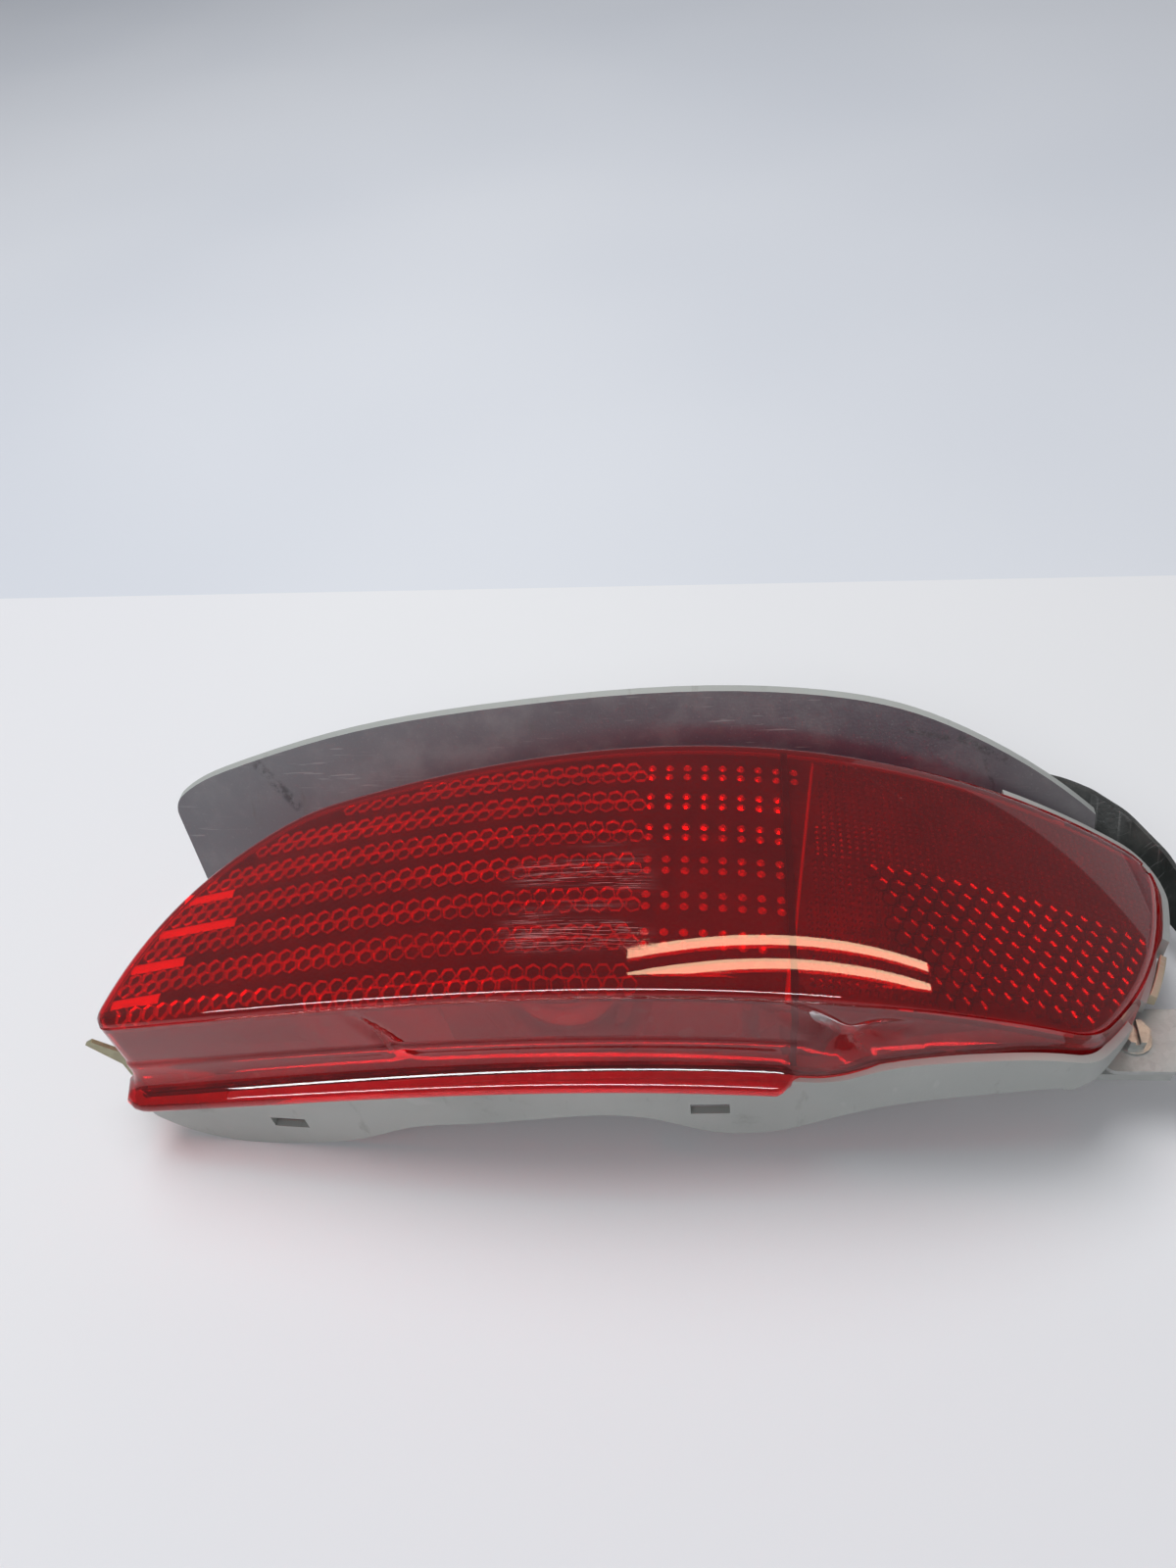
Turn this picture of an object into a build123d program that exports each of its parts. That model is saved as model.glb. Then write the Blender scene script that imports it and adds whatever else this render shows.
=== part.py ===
from build123d import *
import os
from functools import cache
from math import cos, pi, sin

# Rear bumper marker lamp: a red wrap-around lens on a sealed body, carried by a grey mounting frame.
# Millimetres. +X runs along the lamp to the wrapped end, +Y to the vehicle's top, +Z out of the lens.

# Overall sizes
lens_length = 340.0
lens_height = 94.0
lamp_depth = 97.0
half_length = lens_length / 2
half_height = lens_height / 2

# Crown of the lens: how far it falls below its peak at both ends, along the edges and across corners
crown_bow = 45.5
crown_sweep = 13.5
crown_cross = 3.0
crown_twist = 3.6

# Lens
lens_wall = 2.5
lens_face = 3.0
lip_reach = 9.0
lip_height = 12.0
lip_depth = 43.0
lip_bulge = 2.5
lip_end = 0.27
tip_radius = 5.0
shoulder_radius = 30.0
corner_radius = 12.0
heel_radius = 16.0
hook_stations = (-0.69, 0.135)
hook_width = 9.0
hook_sheet = 2.0
window_depth = 62.5
window_height = 6.0
window_gap = 0.5

# Depth of each lower edge under the crown, at shares of the half length
lens_skirt = [
    (-1.12, lip_depth), (-0.5, lip_depth), (0.05, lip_depth), (0.27, 43), (0.36, 41), (0.43, 33),
    (0.5, 27), (0.6, 20.5), (0.7, 14.5), (0.8, 11), (1.12, 9.5),
]
wall_skirt = [
    (-1.12, 44), (-1.0, 47), (-0.95, 58), (-0.86, 70.5), (-0.71, 77.4), (-0.55, 77), (-0.44, 71), (-0.3, 70.5),
    (0.035, 70), (0.137, 78), (0.265, 75), (0.37, 63), (0.49, 50.5), (0.62, 39.5), (0.75, 28), (0.85, 20), (1.12, 19),
]

# Body and seal
seal_height = 1.5
seal_inset = 0.3
rim_height = 2.5
rim_inset = 0.5
body_inset = 8.0
body_wall = 2.5
floor_lift = 4.0
fit_gap = 0.3
body_left = -148.0
post_radius = 4.5
post_places = [(106.0, -22.0), (106.0, 22.0)]
screw_stations = [(-0.55, 24.0), (0.49, 26.0), (0.035, -28.0)]
vent_x = 36.0
vent_y = 8.0
vent_radius = 4.0

# Optics
plate_drop = 5.0
plate_thickness = 2.0
panel_thickness = 3.0
divider_station = 47.0
divider_thickness = 2.0
bowl_mouth = 37.0
bowl_sheet = 1.5

# Mounting frame
frame_reach = 5.0
frame_wall = 2.5
flange_sheet = 3.0
flange_foot = 47.0
flange_datum = 22.0
flange_lean = 30.0
flange_left = -182.0
flange_right = 157.0
flange_rim = [
    (-1.07, 50), (-1.03, 55), (-0.92, 62), (-0.64, 73), (-0.29, 80), (0.05, 83), (0.37, 80.5), (0.53, 75.5), (0.69, 65),
    (0.81, 54), (0.92, 41),
]
rim_corner = 6.0
shelf_sheet = 2.5
end_drop = 2.5
ear_length = 14.0
ear_height = 5.0
hole_radius = 3.25

# Bulb and holder
socket_x = -20.0
socket_y = 0.0
pad_radius = 25.0
pad_bottom = 29.0
pad_height = 4.0
hole_gap = 0.2
socket_radius = 15.0
socket_top = 46.0
socket_bottom = 8.0
flange_radius = 21.0
flange_height = 3.0
lug_count = 3
lug_reach = 3.2
lug_height = 2.6
lug_angle = 26.0
twist_angle = 45.0
shroud_length = 30.0
shroud_width = 18.0
shroud_height = 14.0
shroud_wall = 2.0
wedge_width = 16.0
wedge_thickness = 6.0
wedge_depth = 12.0
wedge_gap = 0.25
bulb_radius = 9.5
bulb_height = 26.0
bulb_sheet = 0.9

# Fasteners and hardware
screw_radius = 2.5
hex_across = 8.0
bracket_sheet = 2.0
bracket_length = 58.0
bracket_width = 22.0
bracket_inset = 11.0
bracket_x = 154.0
bracket_y = -22.0
bracket_bottom = 24.5
seat_sheet = 3.5
riser_height = 21.0
left_hole = (-154.0, 24.0)
hole_seat = 2.0
hole_top = 11.0
tab_hole = (-156.5, -26.0)
tab_bottom = 14.5
tab_sheet = 1.5
foam_inner = 2.5
foam_outer = 4.8
tab_width = 13.0
tab_leg = [(-172, 14.5), (-172, 22), (-177, 30), (-186, 38), (-189, 36), (-186, 31), (-181, 23), (-181, 14.5)]
tab_hole_radius = 2.0
shield_sheet = 2.5
shield_rim = [(100, 53), (130, 52), (142, 50), (158, 43), (172, 36), (192, 26)]
shield_bottom = 14.0
far = 400.0


def crown(x, y=0.0):
    """Height of the outer face of the lens."""
    along = x / half_length
    across = y / half_height
    drop = crown_bow * along**2 + crown_sweep * along**3 + crown_cross * across**2
    return lamp_depth - drop + crown_twist * along * across


@cache
def under_crown(drop):
    """Everything below the crown when it is lowered by drop."""
    stations = [
        [Vector(i / 6 * 1.25 * half_length, j / 3 * 1.6 * half_height) for j in range(-3, 4)]
        for i in range(-6, 7)
    ]
    grid = [[Vector(p.X, p.Y, crown(p.X, p.Y) - drop) for p in row] for row in stations]
    face = Face.make_surface_from_array_of_points(grid, smoothing=None, min_deg=3, max_deg=5)
    return extrude(face, amount=far, dir=(0, 0, -1))


def under_edge(stations, raised=0.0):
    """Everything below an edge given as depths under the crown, raised by a clearance."""
    points = [(share * half_length, crown(share * half_length) - depth + raised) for share, depth in stations]
    return under_profile(points)


def under_profile(points):
    """Everything below a smooth line in the XZ plane."""
    top = Spline(*[Vector(x, 0, z) for x, z in points])
    left, right = top @ 0, top @ 1
    sides = Polyline(right, Vector(right.X, 0, -far), Vector(left.X, 0, -far), left)
    return extrude(make_face([top, sides]), amount=far, dir=(0, 1, 0), both=True)


def outline():
    """Plan of the lens: four long arcs with rounded corners."""
    tip = (-1.006 * half_length, -0.895 * half_height)
    heel = (0.79 * half_length, -0.83 * half_height)
    corner = (1.012 * half_length, 0.81 * half_height)
    shoulder = (-0.66 * half_length, 0.787 * half_height)
    bottom = ThreePointArc(tip, (-0.12 * half_length, -half_height), heel)
    right = ThreePointArc(heel, (0.945 * half_length, -0.085 * half_height), corner)
    top = ThreePointArc(corner, (0.35 * half_length, 1.01 * half_height), shoulder)
    left = ThreePointArc(shoulder, (-0.87 * half_length, 0.213 * half_height), tip)
    face = make_face([bottom, right, top, left])
    for place, radius in ((tip, tip_radius), (heel, heel_radius), (corner, corner_radius), (shoulder, shoulder_radius)):
        near = face.vertices().sort_by_distance(Vector(*place))[0]
        face = fillet(near, radius)
    return face


plan = outline()


@cache
def column(grown=0.0, moved=0.0):
    """Prism of the plan, grown outwards and moved down the vehicle."""
    edges = offset(plan, amount=grown, kind=Kind.ARC).edges() if grown else plan.edges()
    face = make_face([ThreePointArc(edge @ 0, edge @ 0.5, edge @ 1) for edge in edges])
    return extrude(Pos(0, -moved, -far / 4) * face, amount=far)


def ring(outer, inner, moved=0.0):
    return column(outer, moved) - column(inner, moved)


def slab(x0, x1, y0=-far, y1=far, z0=-far, z1=far):
    return Pos((x0 + x1) / 2, (y0 + y1) / 2, (z0 + z1) / 2) * Box(x1 - x0, y1 - y0, z1 - z0)


def rod(x, y, z0, z1, radius):
    return Pos(x, y, (z0 + z1) / 2) * Cylinder(radius, z1 - z0)


def leaning(x0, x1, y0, y1):
    """Prism that leans towards the vehicle's top, with its foot line at the flange datum."""
    lean = Vector(0, sin(flange_lean * pi / 180), cos(flange_lean * pi / 180))
    foot = Plane(origin=(0, 0, flange_datum)) * make_face(
        Polyline((x0, y0), (x1, y0), (x1, y1), (x0, y1), close=True)
    )
    return extrude(foot, amount=far / 2, dir=lean) + extrude(foot, amount=far / 2, dir=-lean)


def hook(share, reach, top, foot):
    """Piece of a snap hook, as wide as the hook, between two depths under the crown."""
    x = share * half_length
    strip = column(0, reach) - column(0, fit_gap)
    return strip & slab(x - hook_width / 2, x + hook_width / 2, -far, 0, crown(x) - foot, crown(x) - top)


def make_lens():
    skirt = under_edge(lens_skirt)
    shell = (column() & under_crown(0)) - skirt
    lip_top = under_edge([(share, lip_depth - lip_height) for share in (-1.12, -0.5, 0.05, lip_end + 0.1)])
    lip = ((column(lip_bulge, lip_reach - lip_bulge) + column()) & lip_top) - skirt
    lip &= slab(-far, lip_end * half_length, -far, 0)
    lens = shell + lip
    lens -= (column(-lens_wall) & under_crown(lens_face))
    half = window_height / 2
    for share in hook_stations:
        lens += hook(share, fit_gap + hook_sheet, lip_depth - 1, window_depth + half)
        lens += hook(share, frame_reach - fit_gap, window_depth - half + window_gap, window_depth + half - window_gap)
    return lens


def make_seal():
    strip = ring(-seal_inset, seal_inset - lens_wall)
    return (strip & under_edge(lens_skirt)) - under_edge(lens_skirt, -seal_height)


def body_space():
    """Everything above the underside of the body's floor, within its side walls."""
    return (column(-body_inset) & slab(body_left, far)) - under_edge(wall_skirt, floor_lift)


def screw_places():
    """Centre and seat height of each screw that holds the body to the frame."""
    depths = dict(wall_skirt)
    return [
        (share * half_length, y, crown(share * half_length) - depths[share] - 1)
        for share, y in screw_stations
    ]


def lugs(z0, z1, gap, turned):
    """Bayonet lugs of the bulb holder, or the notches that pass them."""
    reach = socket_radius + lug_reach + gap
    band = rod(socket_x, socket_y, z0, z1, reach) - rod(socket_x, socket_y, z0, z1, socket_radius - 1)
    half = (lug_angle / 2) * pi / 180 + gap / reach
    wedge = make_face(Polyline(
        (0, 0), (2 * reach * cos(half), -2 * reach * sin(half)), (2 * reach * cos(half), 2 * reach * sin(half)), close=True
    ))
    sector = extrude(Pos(0, 0, z0) * wedge, amount=z1 - z0)
    pieces = [
        band & (Pos(socket_x, socket_y, 0) * Rot(0, 0, turned + i * 360 / lug_count) * sector)
        for i in range(lug_count)
    ]
    return pieces[0] + pieces[1:]


def make_body():
    inside = -body_inset - body_wall
    rim = ring(-rim_inset, inside) + (column(-rim_inset) & slab(-far, body_left + body_wall))
    rim = (rim & under_edge(lens_skirt, -seal_height)) - under_edge(lens_skirt, -seal_height - rim_height)
    hollow = (column(inside) & slab(body_left + body_wall, far)) - under_edge(wall_skirt, floor_lift + body_wall)
    body = rim + ((body_space() & under_edge(lens_skirt, -seal_height)) - hollow)
    pad_top = pad_bottom + pad_height
    body -= rod(socket_x, socket_y, 0, pad_bottom, pad_radius)
    body -= rod(socket_x, socket_y, pad_top, socket_top, pad_radius)
    body += rod(socket_x, socket_y, pad_bottom, pad_top, pad_radius)
    body -= rod(socket_x, socket_y, 0, socket_top, socket_radius + hole_gap)
    body -= lugs(pad_bottom - 1, pad_top + 1, 2 * hole_gap, twist_angle)
    for x, y in post_places:
        body += rod(x, y, 0, lamp_depth, post_radius) - body_space()
    for x, y, seat in screw_places():
        top = seat + ear_height + 12
        body += rod(x, y, seat, top, 4.5) & body_space()
        body -= rod(x, y, 0, top - 2, screw_radius)
    return body - rod(vent_x, vent_y, 0, pad_top + 8, vent_radius)


def make_plate():
    plate = (column(-lens_wall) & under_crown(plate_drop)) - under_crown(plate_drop + plate_thickness)
    return plate & slab(-far, divider_station)


def make_panel():
    panel = (column(-lens_wall) & under_crown(plate_drop)) - under_crown(plate_drop + panel_thickness)
    return panel & slab(divider_station + divider_thickness, far)


def make_divider():
    upper = column(-lens_wall) - under_edge(lens_skirt, -seal_height)
    lower = column(-body_inset - body_wall) - under_edge(wall_skirt, floor_lift + body_wall)
    sheet = slab(divider_station, divider_station + divider_thickness) & under_crown(lens_face)
    return (sheet & upper) + (sheet & lower)


def make_bowl():
    """Metallised bowl that stands round the bulb holder's hole."""
    foot = pad_bottom + pad_height
    neck = socket_radius + lug_reach + 1.8
    rise = socket_top - foot
    inner = ThreePointArc((neck, foot + rise / 2), (29, 57), (bowl_mouth, 80))
    outer = ThreePointArc((bowl_mouth + bowl_sheet, 80), (30.8, 57), (neck + bowl_sheet, foot + rise / 2))
    wall = make_face([
        Line((neck, foot), inner @ 0), inner, Line(inner @ 1, outer @ 0), outer,
        Line(outer @ 1, (neck + bowl_sheet, foot)), Line((neck + bowl_sheet, foot), (neck, foot)),
    ])
    return Pos(socket_x, socket_y, 0) * revolve(Plane.XZ * wall, Axis.Z)


def make_vent():
    floor = pad_bottom - floor_lift
    stem = rod(vent_x, vent_y, floor - 10, pad_bottom + 4, vent_radius)
    cap = rod(vent_x, vent_y, floor - 12, floor - 6, 7.0)
    return (stem + cap) - rod(vent_x, vent_y, floor - 10, pad_bottom + 4, vent_radius - 1.5)


def window(share):
    x = share * half_length
    middle = crown(x) - window_depth
    half = hook_width / 2 + window_gap + 1
    return slab(x - half, x + half, -far, 0, middle - window_height / 2, middle + window_height / 2)


def flange_elevation():
    rim = Spline(*[(share * half_length, z) for share, z in flange_rim])
    end = rim @ 1
    foot = (flange_left + 21, -20)
    start = rim @ 0
    face = make_face([rim, Polyline((end.X, end.Y), (end.X, -20), foot, (start.X, start.Y))])
    top_left = face.vertices().sort_by_distance(start)[0]
    return extrude(Plane.XZ * fillet(top_left, rim_corner), amount=far, both=True)


def rivet_places():
    """Push rivets through the flange, square to its face."""
    lean = flange_lean * pi / 180
    return [
        Plane(
            origin=(x, flange_foot + (z - flange_datum) * sin(lean) / cos(lean), z),
            x_dir=(1, 0, 0), z_dir=(0, cos(lean), -sin(lean)),
        )
        for x, z in ((118.0, 40.0), (134.0, 34.0))
    ]


def make_rivets(gap=0.0):
    shank = Pos(0, 0, 3) * Cylinder(2.8 + gap, 12)
    head = Pos(0, 0, 8.2) * Cylinder(5.5 + gap, 1.8)
    stop = Pos(0, 0, -2.6) * Cylinder(4.2 + gap, 1.5)
    rivets = [place * (shank + head + stop) for place in rivet_places()]
    return rivets[0] + rivets[1:]


def make_frame():
    wall = (ring(0, -frame_wall, frame_reach) & under_edge(lens_skirt)) - under_edge(wall_skirt)
    rim_space = column(fit_gap) - under_edge(lens_skirt, -seal_height - rim_height - fit_gap)
    frame = wall - rim_space
    inside_flange = leaning(-far, far, -far, flange_foot + 1)
    shelf = under_edge(wall_skirt, shelf_sheet) - under_edge(wall_skirt)
    shelf = shelf & inside_flange & slab(flange_left + 10, half_length - 18, -5)
    frame += shelf - column(0, frame_reach)
    flange = leaning(flange_left, flange_right, flange_foot, flange_foot + flange_sheet)
    frame += (flange & flange_elevation()) - under_edge(wall_skirt)
    end_wall = (ring(4, 1.5) & slab(120, far, 8) & under_crown(end_drop)) - under_edge(wall_skirt)
    frame += end_wall
    for share in hook_stations:
        frame -= window(share)
    for x, y, seat in screw_places():
        frame += screw_ear(x, y, seat) - body_space()
        frame -= rod(x, y, seat - 1, seat + ear_height + 1, screw_radius + fit_gap)
    frame += rod(*left_hole, hole_seat, hole_top, 9.0) - column(0, frame_reach)
    frame -= rod(*left_hole, -far, hole_seat, 9.5) + rod(*left_hole, -far, far, hole_radius)
    frame += bracket_seat() - body_space() - rim_space
    frame -= rod(bracket_x, bracket_y, 0, bracket_bottom, screw_radius + fit_gap)
    frame -= bracket_relief()
    frame += tab_seat() - body_space()
    frame -= tab_plate(fit_gap)
    frame -= rod(*tab_hole, 0, lamp_depth, tab_hole_radius)
    return frame - make_rivets(0.05)


def screw_ear(x, y, seat):
    """Ear that reaches from the frame's wall to past a screw."""
    half = ear_length / 2
    side = (y - half, far) if y > 0 else (-far, y + half)
    ear = slab(x - half, x + half, *side, seat, seat + ear_height)
    return ear & column(-frame_wall / 2, frame_reach)


def bracket_seat():
    """Step of the frame that carries the right bracket."""
    low = bracket_bottom - seat_sheet
    half = bracket_width / 2
    near = bracket_x - bracket_inset
    side = (bracket_y - half, bracket_y + half)
    arm = slab(near - 2, bracket_x + 10, *side, low, bracket_bottom)
    top = bracket_bottom + riser_height
    riser = slab(near - 15, near - fit_gap, bracket_y - 2, side[1], low, top)
    riser += slab(near - 15, near - fit_gap, side[0] - 10, bracket_y, top - 12, top)
    return arm + (riser & column(-frame_wall / 2, frame_reach))


def bracket_relief():
    """Room above the seat for the bracket's sheet and for a driver on its screw."""
    half = bracket_width / 2 + fit_gap
    top = bracket_bottom + bracket_sheet + fit_gap
    near = bracket_x - bracket_inset - fit_gap
    notch = slab(near, far, bracket_y - half, bracket_y + half, bracket_bottom, top)
    return notch + rod(bracket_x, bracket_y, bracket_bottom, lamp_depth, hex_across * 0.7 + 1)


def make_bracket():
    sheet = Rectangle(bracket_length, bracket_width)
    sheet = fillet(sheet.vertices(), 5)
    sheet -= Pos(bracket_length / 2 - bracket_inset, 0) * Circle(hole_radius)
    sheet -= Pos(bracket_inset - bracket_length / 2, 0) * Circle(screw_radius + fit_gap)
    middle = bracket_x + bracket_length / 2 - bracket_inset
    return extrude(Pos(middle, bracket_y, bracket_bottom) * sheet, amount=bracket_sheet)


def make_bracket_screw():
    seat = bracket_bottom + bracket_sheet
    head = rod(bracket_x, bracket_y, seat, seat + 1.2, hex_across * 0.7)
    hexagon = RegularPolygon(hex_across / 2, 6, major_radius=False)
    head += extrude(Pos(bracket_x, bracket_y, seat + 1.2) * hexagon, amount=4.3)
    head += rod(bracket_x, bracket_y, seat - 16, seat, screw_radius)
    slot = slab(bracket_x - 0.7, bracket_x + 0.7, bracket_y - 10, bracket_y + 10, seat + 3.9, seat + 10)
    return head - slot


def make_bracket_nut():
    top = bracket_bottom - seat_sheet
    nut = slab(bracket_x - 5, bracket_x + 5, bracket_y - 5, bracket_y + 5, top - 3.2, top)
    return nut - rod(bracket_x, bracket_y, 0, top, screw_radius)


def make_frame_screws():
    screws = [
        rod(x, y, seat - 2.6, seat, 4.6) + rod(x, y, seat, seat + ear_height + 9, screw_radius)
        for x, y, seat in screw_places()
    ]
    crosses = [
        Pos(x, y, seat - 2) * (Box(5, 1, 1.6) + Box(1, 5, 1.6)) for x, y, seat in screw_places()
    ]
    cut = [screw - cross for screw, cross in zip(screws, crosses)]
    return cut[0] + cut[1:]


def tab_seat():
    seat = slab(tab_hole[0] - 6, body_left - fit_gap, -far, tab_hole[1] + 7, tab_bottom - 4.5, tab_bottom)
    return seat & column(-frame_wall / 2, frame_reach)


def tab_plate(gap=0.0):
    """Bent tab: a flat foot under the rivet, with a pointed leg that stands up past the left tip."""
    x, y = tab_hole
    half = tab_width / 2 + gap
    end = tab_leg[-1][0]
    foot = slab(end, x + 6 + gap, y - half, y + half, tab_bottom, tab_bottom + tab_sheet + gap)
    leg = extrude(Plane.XZ.offset(half - y) * make_face(Polyline(*tab_leg, close=True)), amount=-tab_sheet)
    return foot + leg


def make_tab():
    return tab_plate() - rod(*tab_hole, 0, lamp_depth, tab_hole_radius)


def make_tab_rivet():
    top = tab_bottom + tab_sheet
    foot = tab_bottom - 4.5
    shank = rod(*tab_hole, foot, top, tab_hole_radius)
    return shank + rod(*tab_hole, top, top + 1.2, 3.6) + rod(*tab_hole, foot - 1.2, foot, 3.6)


def make_foam():
    strip = ring(foam_outer, foam_inner) & slab(140, far, -12, 6) & under_crown(8)
    return strip - under_edge(wall_skirt) - slab(-far, far, -far, far, -far, bracket_bottom + bracket_sheet + 1)


def make_shield():
    """Black guard behind the wrapped end: a bent sheet, leaning with the flange."""
    near = flange_foot + flange_sheet + fit_gap + shield_sheet / 2
    path = FilletPolyline(
        (112, near), (143, near), (157, near + 2), (168, near), (179, near - 10), (186, near - 26), (187, near - 46),
        radius=9,
    )
    band = offset(path, amount=shield_sheet / 2, side=Side.BOTH)
    foot = Plane(origin=(0, 0, flange_datum)) * make_face(band.edges())
    lean = Vector(0, sin(flange_lean * pi / 180), cos(flange_lean * pi / 180))
    sheet = extrude(foot, amount=far / 2, dir=lean) + extrude(foot, amount=far / 2, dir=-lean)
    sheet &= under_profile(shield_rim) & slab(-far, far, -far, far, shield_bottom, far)
    return sheet - make_rivets(0.05)


def make_socket():
    flange_top = pad_bottom - seal_height
    flange_low = flange_top - flange_height
    socket = rod(socket_x, socket_y, flange_low, socket_top, socket_radius)
    socket += rod(socket_x, socket_y, flange_low, flange_top, flange_radius)
    lug_foot = pad_bottom + pad_height + fit_gap
    socket += lugs(lug_foot, lug_foot + lug_height, 0, 0)
    half = shroud_width / 2
    tail = slab(socket_x - 8, socket_x + shroud_length - 8, socket_y - half, socket_y + half, socket_bottom, flange_low)
    socket += tail
    socket -= connector_space()
    half_width = wedge_width / 2 + wedge_gap
    half_slot = wedge_thickness / 2 + wedge_gap
    slot_foot = socket_top - wedge_depth
    socket -= slab(socket_x - half_width, socket_x + half_width, socket_y - half_slot, socket_y + half_slot, slot_foot, far)
    socket -= make_contacts(wedge_gap)
    return socket - make_terminals()


def connector_space():
    half = shroud_width / 2 - shroud_wall
    end = socket_x + shroud_length - 8
    low = socket_bottom + shroud_wall
    return slab(end - 14, end + 1, socket_y - half, socket_y + half, low, low + shroud_height - 2 * shroud_wall)


def make_terminals():
    end = socket_x + shroud_length - 8
    middle = socket_bottom + shroud_height / 2
    blades = [
        slab(end - 20, end - 3, socket_y + side - 0.4, socket_y + side + 0.4, middle - 1.4, middle + 1.4)
        for side in (-3.0, 3.0)
    ]
    return blades[0] + blades[1:]


def make_contacts(gap=0.0):
    """Two spring strips that press on the wedge base."""
    near = wedge_thickness / 2 + fit_gap
    strips = [
        slab(
            socket_x - 2.5 - gap, socket_x + 2.5 + gap,
            socket_y + min(side * near, side * (near + 0.6)) - gap,
            socket_y + max(side * near, side * (near + 0.6)) + gap,
            socket_top - wedge_depth, socket_top - 1 + gap,
        )
        for side in (-1, 1)
    ]
    return strips[0] + strips[1:]


def make_socket_seal():
    top = pad_bottom - 0.15
    low = pad_bottom - seal_height
    return rod(socket_x, socket_y, low, top, flange_radius - 1) - rod(socket_x, socket_y, low, top, socket_radius)


def make_bulb():
    foot = socket_top + fit_gap
    middle = foot + bulb_height - bulb_radius
    glass = rod(socket_x, socket_y, foot, middle, bulb_radius)
    glass += Pos(socket_x, socket_y, middle) * Sphere(bulb_radius)
    inner = bulb_radius - bulb_sheet
    glass -= rod(socket_x, socket_y, foot + bulb_sheet, middle, inner)
    glass -= Pos(socket_x, socket_y, middle) * Sphere(inner)
    half_width = wedge_width / 2
    half = wedge_thickness / 2
    low = socket_top - wedge_depth + fit_gap
    base = slab(socket_x - half_width, socket_x + half_width, socket_y - half, socket_y + half, low, foot + bulb_sheet)
    return glass + base


def make_filament():
    height = socket_top + 13
    return Pos(socket_x, socket_y, height) * Rot(90, 0, 0) * Cylinder(0.6, 6.4)


def make_filament_posts():
    low = socket_top + fit_gap + bulb_sheet
    top = socket_top + 13 - 0.6
    posts = [rod(socket_x, socket_y + side, low, top, 0.35) for side in (-2.6, 2.6)]
    return posts[0] + posts[1:]


makers = {
    "lens": make_lens,
    "lens_seal": make_seal,
    "prism_plate": make_plate,
    "reflex_panel": make_panel,
    "chamber_divider": make_divider,
    "lamp_body": make_body,
    "reflector_bowl": make_bowl,
    "vent_cap": make_vent,
    "mounting_frame": make_frame,
    "frame_screws": make_frame_screws,
    "right_bracket": make_bracket,
    "bracket_screw": make_bracket_screw,
    "bracket_nut": make_bracket_nut,
    "left_tab": make_tab,
    "tab_rivet": make_tab_rivet,
    "foam_strip": make_foam,
    "splash_shield": make_shield,
    "push_rivets": make_rivets,
    "bulb_socket": make_socket,
    "connector_terminals": make_terminals,
    "socket_contacts": make_contacts,
    "socket_seal": make_socket_seal,
    "bulb_glass": make_bulb,
    "bulb_filament": make_filament,
    "filament_posts": make_filament_posts,
}

os.makedirs("parts", exist_ok=True)
parts = {name: maker() for name, maker in makers.items()}
box = Compound(children=[Compound(part.solids()) for part in parts.values()]).bounding_box()
shift = Vector(-box.center().X, -box.center().Y, -box.min.Z)
for name, part in parts.items():
    export_step(Pos(shift) * part, f"parts/{name}.step")
print("moved to the origin by", shift)
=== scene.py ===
import math
import bmesh
import bpy
import numpy as np
from mathutils import Matrix, Vector


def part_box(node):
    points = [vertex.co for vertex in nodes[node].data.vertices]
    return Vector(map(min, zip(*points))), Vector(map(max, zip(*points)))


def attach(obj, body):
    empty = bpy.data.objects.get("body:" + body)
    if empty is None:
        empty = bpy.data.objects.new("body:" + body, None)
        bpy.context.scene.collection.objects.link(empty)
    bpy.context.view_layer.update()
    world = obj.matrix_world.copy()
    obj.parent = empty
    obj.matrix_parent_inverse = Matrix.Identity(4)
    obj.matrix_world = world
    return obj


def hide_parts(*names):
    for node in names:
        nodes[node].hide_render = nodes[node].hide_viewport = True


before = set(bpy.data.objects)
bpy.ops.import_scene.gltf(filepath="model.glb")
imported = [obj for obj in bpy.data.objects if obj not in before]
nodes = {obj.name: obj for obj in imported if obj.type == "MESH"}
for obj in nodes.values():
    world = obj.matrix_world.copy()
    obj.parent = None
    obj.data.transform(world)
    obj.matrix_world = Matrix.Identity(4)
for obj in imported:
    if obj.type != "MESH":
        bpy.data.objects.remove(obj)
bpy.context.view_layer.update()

scene = bpy.context.scene
scene.view_settings.view_transform = "Standard"
mm = 0.001

# the bulb's bowl stands at x -20, y 0 of the lamp's own drawing
bowlLow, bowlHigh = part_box("reflector_bowl")
originX = (bowlLow.x + bowlHigh.x) / 2 + 20 * mm
originY = (bowlLow.y + bowlHigh.y) / 2


def at(x, y, z):
    return Vector((originX + x * mm, originY + y * mm, z * mm))


def smooth(value, low, high):
    t = min(max((value - low) / (high - low), 0.0), 1.0)
    return t * t * (3 - 2 * t)


# camera: eye and aim in metres from one point of the lamp's drawing, which is in millimetres
cameraView = {
    "eye": (0.0274, -0.2335, 0.3714), "aim": (-0.0294, 0.0442, 0.06), "from": (9.25, 16.0872),
    "roll": -9.84, "lens": 27,
}


def placeCamera():
    data = bpy.data.cameras.new("benchCamera")
    data.lens = cameraView["lens"]
    data.sensor_width = 36
    data.clip_start = 0.01
    camera = bpy.data.objects.new("benchCamera", data)
    scene.collection.objects.link(camera)
    start = at(*cameraView["from"], 0)
    eye = Vector(cameraView["eye"]) + start
    aim = Vector(cameraView["aim"]) + start
    turn = (aim - eye).to_track_quat("-Z", "Y").to_matrix()
    turn = turn @ Matrix.Rotation(math.radians(cameraView["roll"]), 3, "Z")
    camera.matrix_world = Matrix.Translation(eye) @ turn.to_4x4()
    scene.camera = camera


placeCamera()
print("camera placed")


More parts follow.
